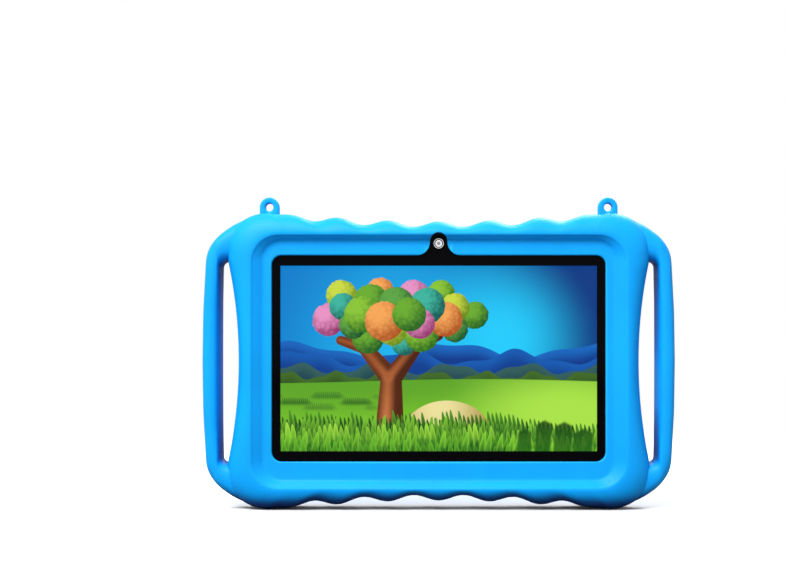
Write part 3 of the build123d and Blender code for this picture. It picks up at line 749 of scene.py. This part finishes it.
def camera_face(name, lens_node, zones, glow=0.0):
    """A camera seen end on: coloured rings from the middle out, each with its outer radius, glowing by
    glow as painted light.
    """
    made, tree, shader = start_material(name)
    split = tree.nodes.new("ShaderNodeSeparateXYZ")
    tree.links.new(position(tree), split.inputs[0])
    centre = middle(lens_node)
    x, z = Field(tree, split.outputs[0]) - centre[0], Field(tree, split.outputs[2]) - centre[2]
    reach = (x * x + z * z).math("SQRT")
    rings = linear(zones[-1][1])
    for radius, colour in reversed(zones[:-1]):
        rings = mix_colours(tree, reach.step(radius + 0.08, radius - 0.08), rings, linear(colour))
    smears = noise(tree, position(tree), 1.2, 3.0)
    for socket in ("Base Color", "Emission Color"):
        tree.links.new(rings, shader.inputs[socket])
    # Painted light: the rings glow by this strength although the camera gives no light.
    shader.inputs["Emission Strength"].default_value = glow
    tree.links.new((smears * 0.1 + 0.08).socket, shader.inputs["Roughness"])
    return made


def printed_glass():
    """Cover glass: clear over the lit screen and the camera, printed black round them."""
    made, tree, shader = start_material("printed_glass")
    split = tree.nodes.new("ShaderNodeSeparateXYZ")
    tree.links.new(position(tree), split.inputs[0])
    x, z = Field(tree, split.outputs[0]), Field(tree, split.outputs[2]) - SCREEN_Z
    inside_x = x.math("ABSOLUTE").step(LIT_HALF_WIDTH + 0.05, LIT_HALF_WIDTH - 0.05)
    inside_z = z.math("ABSOLUTE").step(LIT_HALF_HEIGHT + 0.05, LIT_HALF_HEIGHT - 0.05)
    camera = middle("front_camera_ring")
    offset_x, offset_z = x - camera[0], z - (camera[2] - SCREEN_Z)
    reach = (offset_x * offset_x + offset_z * offset_z).math("SQRT")
    over_camera = reach.step(CAMERA_CLEAR + 0.05, CAMERA_CLEAR - 0.05)
    clear = (inside_x * inside_z).math("MAXIMUM", over_camera)
    smears = noise(tree, position(tree), 0.08, 4.0)
    shader.inputs["Base Color"].default_value = linear((4, 4, 6))
    tree.links.new((smears * 0.04 + 0.05).socket, shader.inputs["Roughness"])
    shader.inputs["Specular IOR Level"].default_value = 0.05
    tree.links.new((1.0 - clear * 0.985).socket, shader.inputs["Alpha"])
    return made


# ---- the picture on the screen, in millimetres from the screen's centre ----

TREE_FOOT = (-24.0, -42.0)
CROWN_CENTRE = (-20.0, 21.0)
CROWN_SIZE = (38.0, 14.5)
LEAF_CLUSTERS = 22
GOLDEN_TURN = math.pi * (3 - math.sqrt(5))
LEAF_COLOURS = (
    ((30, 96, 30), (110, 176, 50)),
    ((104, 140, 20), (206, 222, 70)),
    ((14, 90, 84), (64, 184, 160)),
    ((40, 110, 24), (140, 200, 56)),
    ((150, 52, 110), (236, 150, 200)),
    ((22, 84, 40), (96, 168, 70)),
    ((176, 84, 30), (250, 170, 90)),
)


class Painter:
    """Paints flat shapes over one another on the lit screen."""

    def __init__(self, tree):
        self.tree = tree
        split = tree.nodes.new("ShaderNodeSeparateXYZ")
        tree.links.new(position(tree), split.inputs[0])
        self.where = position(tree)
        self.x = Field(tree, split.outputs[0])
        self.z = Field(tree, split.outputs[2]) - SCREEN_Z
        self.colour = linear((20, 150, 235))

    def lay(self, mask, colour):
        """Paint a colour where the mask is 1."""
        self.colour = mix_colours(self.tree, mask, self.colour, colour)

    def shade(self, factor, dark, light):
        """A colour between two, by a factor."""
        return mix_colours(self.tree, factor, linear(dark), linear(light))

    def below(self, height, softness=0.25):
        """Mask of everything below a line given as a height for each x."""
        return (self.z - height).step(softness, -softness)

    def distance(self, x, z, stretch=1.0):
        """Distance from a point, with heights stretched."""
        across, up = self.x - x, (self.z - z) * stretch
        return (across * across + up * up).math("SQRT")

    def limb(self, start, end, thick, thin, softness=0.2):
        """Mask of a tapering branch between two points."""
        span = (end[0] - start[0], end[1] - start[1])
        length = math.hypot(*span)
        across, up = self.x - start[0], self.z - start[1]
        along = (across * span[0] + up * span[1]) / (length * length)
        along = along.math("MAXIMUM", 0.0).math("MINIMUM", 1.0)
        off_x, off_z = across - along * span[0], up - along * span[1]
        gap = (off_x * off_x + off_z * off_z).math("SQRT")
        return (gap - (thick + along * (thin - thick))).step(softness, -softness)

    def ball(self, x, z, radius, leaves, dark, light):
        """A round leafy cluster lit from the upper left."""
        ragged = leaves * 0.7 - 0.35
        mask = (self.distance(x, z) + ragged).step(radius + 0.2, radius - 0.2)
        lit = self.distance(x - radius * 0.35, z + radius * 0.45) + leaves * (radius * 0.55)
        self.lay(mask, self.shade(lit.step(radius * 1.95, radius * 0.5), dark, light))


def paint_sky(paint):
    """Sky with a soft glow in the middle that darkens towards the upper right."""
    paint.colour = paint.shade(paint.x.step(70.0, -30.0), (12, 60, 134), (12, 126, 206))
    paint.lay(paint.distance(-14.0, 2.0).step(78.0, 4.0) * 0.85, linear((30, 190, 248)))
    paint.lay(paint.distance(30.0, 9.0).step(50.0, 4.0), linear((36, 206, 255)))


def paint_land(paint):
    """Blue mountains, dark hills and a meadow with lighter and darker bands."""
    ridges = (
        (4.0, 3.6, 0.085, 1.2, (10, 58, 140), (24, 104, 194)),
        (0.5, 3.2, 0.12, 3.4, (12, 64, 146), (20, 92, 180)),
        (-5.0, 2.4, 0.17, 0.6, (30, 70, 84), (52, 96, 92)),
        (-8.2, 1.8, 0.26, 2.0, (40, 78, 30), (66, 108, 38)),
    )
    for level, height, turns, shift, dark, light in ridges:
        wave = (paint.x * turns + shift).math("SINE") * height
        ripple = (paint.x * turns * 2.3 + shift * 3).math("SINE") * (height * 0.35)
        line = wave + ripple + level
        paint.lay(paint.below(line), paint.shade((paint.z - line).step(-8.0, 0.0), dark, light))
    meadow = (paint.x * 0.03 + 1.0).math("SINE") * 1.0 - 11.0
    drift = noise(paint.tree, paint.where, 0.05) * 8.0
    fall = (paint.z - meadow + drift).step(-24.0, 3.0)
    paint.lay(paint.below(meadow), paint.shade(fall, (126, 204, 44), (96, 168, 40)))
    sunny = paint.distance(62.0, -27.0, 2.2).step(70.0, 12.0)
    paint.lay(sunny * paint.below(meadow), linear((172, 230, 74)))
    for foot, tint in ((-18.5, (64, 124, 36)), (-21.5, (50, 106, 30)), (-24.0, (78, 138, 40))):
        blade = ((paint.x + paint.z * 0.2) * 3.1 + foot).math("SINE").math("ABSOLUTE") * 2.6
        clump = (paint.x * 0.21 + foot).math("SINE").step(-0.5, 0.5) * paint.x.step(-24.0, -36.0)
        tuft = paint.below(blade * clump + foot, 0.2) * (paint.z - foot).step(-2.0, 0.2)
        paint.lay(tuft * clump * 0.9, linear(tint))


def paint_mound(paint):
    """A sandy mound behind the grass, and a stone at the foot of the tree."""
    for x, z, radius, stretch, dark, light in ((4.0, -38.0, 22.0, 1.25, (176, 150, 74), (240, 228, 158)),
                                               (-31.0, -38.5, 7.0, 2.2, (120, 96, 48), (206, 184, 116))):
        reach = paint.distance(x, z, stretch)
        lit = paint.distance(x - radius * 0.2, z + radius * 0.7).step(radius * 1.3, radius * 0.1)
        paint.lay(reach.step(radius + 0.2, radius - 0.2), paint.shade(lit, dark, light))


def tree_limbs(start, lean, length, thick, forks):
    """A branch from a point, leaning from upright, and the branches that fork from its end."""
    end = (start[0] + length * math.sin(lean), start[1] + length * math.cos(lean))
    limbs = [(start, end, thick, thick * 0.7)]
    if forks:
        for turn in (-0.72, 0.62):
            limbs += tree_limbs(end, lean * 0.8 + turn, length * 0.62, thick * 0.66, forks - 1)
    return limbs


def paint_tree(paint):
    """A brown tree with forked limbs under a dome of round leafy clusters, some of them in blossom."""
    grain = noise(paint.tree, paint.where, 0.3) * 8.0
    shadow = paint.shade((paint.x + grain).step(-10.0, -34.0), (78, 34, 12), (112, 54, 22))
    bark = paint.shade((paint.z + grain).step(-34.0, 12.0), (204, 122, 70), (158, 84, 42))
    limbs = tree_limbs(TREE_FOOT, 0.03, 32.0, 7.4, 2)
    for start, end, thick, thin in limbs:
        paint.lay(paint.limb(start, end, thick, thin), shadow)
    for start, end, thick, thin in limbs:
        lit_start = (start[0] - thick * 0.3, start[1] + thick * 0.12)
        lit_end = (end[0] - thin * 0.3, end[1] + thin * 0.12)
        paint.lay(paint.limb(lit_start, lit_end, thick * 0.35, thin * 0.35, thick * 0.35), bark)
    cells = paint.tree.nodes.new("ShaderNodeTexVoronoi")
    cells.inputs["Scale"].default_value = 0.55
    paint.tree.links.new(paint.where, cells.inputs["Vector"])
    leaves = Field(paint.tree, cells.outputs["Distance"])
    for cluster in range(LEAF_CLUSTERS):
        reach = math.sqrt(1 - (cluster + 0.5) / LEAF_CLUSTERS)
        turn = cluster * GOLDEN_TURN
        x = CROWN_CENTRE[0] + CROWN_SIZE[0] * reach * math.cos(turn)
        z = CROWN_CENTRE[1] + CROWN_SIZE[1] * reach * math.sin(turn)
        dark, light = LEAF_COLOURS[cluster % len(LEAF_COLOURS)]
        paint.ball(x, z, 9.6 - 3.0 * reach + math.sin(cluster * 2.0), leaves, dark, light)


def paint_grass(paint):
    """Rows of leaning pointed blades along the bottom, and a few dark ones close by."""
    rows = ((-33.5, 8.0, 2.0, 0.0, 0.16, (26, 72, 22), (84, 150, 40)),
            (-36.0, 8.0, 2.3, 5.3, -0.12, (48, 112, 28), (126, 196, 52)),
            (-39.5, 8.0, 2.6, 9.1, 0.1, (60, 132, 30), (160, 222, 66)),
            (-43.5, 8.0, 2.8, 2.7, -0.18, (34, 100, 24), (132, 208, 52)),
            (-48.0, 8.5, 3.1, 7.7, 0.14, (22, 78, 20), (104, 186, 44)))
    for base, height, width, shift, lean, dark, light in rows:
        column = (paint.x + (paint.z - base) * lean + shift) / width
        whole = column.math("FLOOR")
        lottery = ((whole * 12.9898 + shift).math("SINE") * 437.585).math("FRACT").math("ABSOLUTE")
        tip = (column - whole - 0.5).math("ABSOLUTE")
        spread = paint.x.step(66.0, 20.0) * 0.75 + 0.25
        line = (lottery * 0.6 + 0.5) * spread * height - tip * tip * (height * 2.6) + base
        tone = lottery + (paint.z - line) * 0.12 + 0.2
        paint.lay(paint.below(line, 0.2), paint.shade(tone, dark, light))
    for blade in range(4):
        x, top, half = 42.0 + 9.5 * blade, -31.5 - 2.6 * math.cos(blade * 2.2), 3.3 + 0.5 * blade
        sides = (paint.x - x - (paint.z - top) * 0.08).math("ABSOLUTE")
        point = paint.below(top - sides * 0.5, 0.9) * sides.step(half + 0.7, half - 0.7)
        paint.lay(point * 0.9, paint.shade(paint.z.step(-45.0, -28.0), (36, 104, 20), (22, 66, 14)))


def lit_picture():
    """The display showing a simple landscape."""
    made, tree, shader = start_material("lit_picture")
    paint = Painter(tree)
    paint_sky(paint)
    paint_land(paint)
    paint_mound(paint)
    paint_tree(paint)
    paint_grass(paint)
    tree.links.new(paint.colour, shader.inputs["Emission Color"])
    shader.inputs["Emission Strength"].default_value = 1.0
    shader.inputs["Base Color"].default_value = linear((4, 4, 6))
    shader.inputs["Roughness"].default_value = 0.4
    shader.inputs["Specular IOR Level"].default_value = 0.1
    return made


def dress_cad_nodes():
    """Give every carried-over CAD node its material."""
    # gap_shade paints shade into the kickstand's gaps.
    blue_plastic = moulded("blue_plastic", (5, 160, 253), 0.36, grain=3.0, grain_height=0.015, tint=0.03,
                           gap_shade=0.85, edge=0.45)
    navy = moulded("navy_plastic", (16, 22, 48), 0.42, grain=3.5, grain_height=0.02)
    black = moulded("black_housing", (12, 12, 14), 0.4, grain=3.5, grain_height=0.02)
    chips = moulded("chip_black", (24, 24, 26), 0.5, grain=5.0)
    steel = brushed("drawn_steel", (190, 192, 196), 0.3)
    screw = brushed("dark_steel", (70, 70, 76), 0.35)
    amber = moulded("flex_amber", (170, 104, 30), 0.35, grain=4.0)
    white = moulded("white_plastic", (220, 220, 212), 0.4)
    # The front camera's rings glow slightly as painted light.
    front_face = camera_face("front_camera_face", "front_camera_lens", FRONT_CAMERA_RINGS, 0.7)
    choices = {
        ("kickstand_frame", "kickstand_leg"): blue_plastic,
        ("rear_cover", "power_button", "volume_up_button", "volume_down_button"): navy,
        ("front_housing", "touch_adhesive", "display_gasket", "battery_tape"): black,
        ("board_chips", "front_camera_module", "rear_camera_module", "power_switch", "volume_up_switch",
         "volume_down_switch", "headphone_jack", "speaker"): chips,
        ("kickstand_pin", "display_tray", "shield_can", "wifi_module", "usb_port", "microsd_socket",
         "microphone"): steel,
        ("housing_screws", "board_screws"): screw,
        ("display_flex", "touch_flex", "wifi_antenna"): amber,
        ("backlight_unit",): moulded("white_film", (230, 230, 224), 0.5),
        ("mainboard",): moulded("circuit_board", (16, 92, 48), 0.35, grain=1.2, tint=0.15),
        ("battery",): brushed("battery_foil", (186, 188, 192), 0.45, (0.6, 0.6, 0.6)),
        ("antenna_cable",): moulded("black_wire", (20, 20, 22), 0.5),
        ("battery_leads", "speaker_leads"): moulded("red_wire", (170, 24, 24), 0.45),
        ("power_plunger", "volume_down_plunger", "volume_up_plunger"): white,
        ("front_camera_lens", "front_camera_ring"): front_face,
        ("rear_camera_lens",): camera_face("rear_camera_face", "rear_camera_lens", REAR_CAMERA_RINGS),
        ("rear_camera_window",): polished("black_window", (6, 6, 8), 0.05),
        ("rear_camera_trim",): polished("bright_trim", (232, 234, 238), 0.28, 1.0),
        ("flash_led",): led_with_painted_glint(),
        ("cover_glass",): printed_glass(),
        ("display_panel",): lit_picture(),
    }
    for names, made in choices.items():
        for name in names:
            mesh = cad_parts[name].data
            mesh.materials.clear()
            mesh.materials.append(made)


# ---- studio: floor, light and camera ----

PICTURE_WIDTH, PICTURE_HEIGHT = 786, 587
PIXELS_PER_MM = 2.067
SCREEN_AT = (438.7, 358.5)
CAMERA_DISTANCE = 0.56
SENSOR = 36.0
SURROUND = 0.62
KEY_PLACE, KEY_POWER = (-0.5, -0.85, 1.15), 27.0
REAR_PLACE, REAR_POWER = (0.4, 0.9, 1.05), 15.0
LAMP_SIZE = (0.7, 0.7)
FLOOR_RADIUS = 4000.0
FADE_FROM, FADE_TO = 280.0, 750.0
FLOOR_UNSEEN = (120, 120, 120)


def backdrop():
    """A round pale floor that fades into the white surround."""
    rim = arc((0, 0), (FLOOR_RADIUS, FLOOR_RADIUS), 0, 354, 60)
    floor = new_piece("backdrop", [(x, y, 0.0) for x, y in rim], [range(60)])
    paper = moulded("backdrop_paper", (248, 248, 248), 0.9, grain=0.2, tint=0.004)
    tree = paper.node_tree
    shader = tree.nodes["Principled BSDF"]
    shader.inputs["Specular IOR Level"].default_value = 0.0
    own_colour = shader.inputs["Base Color"].links[0].from_socket
    seen = seen_and_unseen(tree, 1.0, 0.0)
    colour = mix_colours(tree, seen, linear(FLOOR_UNSEEN), own_colour)
    tree.links.new(colour, shader.inputs["Base Color"])
    reach = tree.nodes.new("ShaderNodeVectorMath")
    reach.operation = "LENGTH"
    tree.links.new(position(tree), reach.inputs[0])
    glow = tree.nodes.new("ShaderNodeEmission")
    blend = tree.nodes.new("ShaderNodeMixShader")
    fade = Field(tree, reach.outputs["Value"]).step(FADE_FROM, FADE_TO) * seen
    tree.links.new(fade.socket, blend.inputs[0])
    tree.links.new(shader.outputs[0], blend.inputs[1])
    tree.links.new(glow.outputs[0], blend.inputs[2])
    tree.links.new(blend.outputs[0], tree.nodes["Material Output"].inputs["Surface"])
    floor.data.materials.append(paper)


def soft_light(name, place, target, size, power):
    """An area light aimed at a point."""
    lamp = bpy.data.lights.new(name, "AREA")
    lamp.shape = "RECTANGLE"
    lamp.size, lamp.size_y = size
    lamp.energy = power
    holder = bpy.data.objects.new(name, lamp)
    holder.location = place
    holder.rotation_euler = (Vector(target) - Vector(place)).to_track_quat("-Z", "Y").to_euler()
    bpy.context.scene.collection.objects.link(holder)


def seen_and_unseen(tree, seen, unseen):
    """One value for what the camera sees directly and another for all other light."""
    path = tree.nodes.new("ShaderNodeLightPath")
    factor = Field(tree, path.outputs["Is Camera Ray"])
    return factor * (seen - unseen) + unseen


def studio():
    """A white surround with one large soft light above the front left and a weaker one behind."""
    scene = bpy.context.scene
    scene.view_settings.view_transform = "Standard"
    world = bpy.data.worlds.new("studio")
    world.use_nodes = True
    background = world.node_tree.nodes["Background"]
    background.inputs["Color"].default_value = (1.0, 1.0, 1.0, 1.0)
    strength = seen_and_unseen(world.node_tree, 1.0, SURROUND)
    world.node_tree.links.new(strength.socket, background.inputs["Strength"])
    scene.world = world
    target = (0.0, 0.0, SCREEN_Z * MM)
    soft_light("key", KEY_PLACE, target, LAMP_SIZE, KEY_POWER)
    soft_light("rear", REAR_PLACE, target, LAMP_SIZE, REAR_POWER)


def camera():
    """A camera level with the screen's centre, its view shifted as in the photo."""
    lens = bpy.data.cameras.new("camera")
    lens.sensor_width = SENSOR
    lens.lens = SENSOR * CAMERA_DISTANCE / (PICTURE_WIDTH / PIXELS_PER_MM * MM)
    lens.shift_x = (PICTURE_WIDTH / 2 - SCREEN_AT[0]) / PICTURE_WIDTH
    lens.shift_y = (SCREEN_AT[1] - PICTURE_HEIGHT / 2) / PICTURE_WIDTH
    holder = bpy.data.objects.new("camera", lens)
    holder.location = (0.0, -CAMERA_DISTANCE - GLASS_FRONT * MM, SCREEN_Z * MM)
    holder.rotation_euler = (math.radians(90), 0.0, 0.0)
    bpy.context.scene.collection.objects.link(holder)
    bpy.context.scene.camera = holder


case = silicone_case()
case.data.materials.clear()
case.data.materials.append(silicone())
dress_cad_nodes()
backdrop()
studio()
camera()
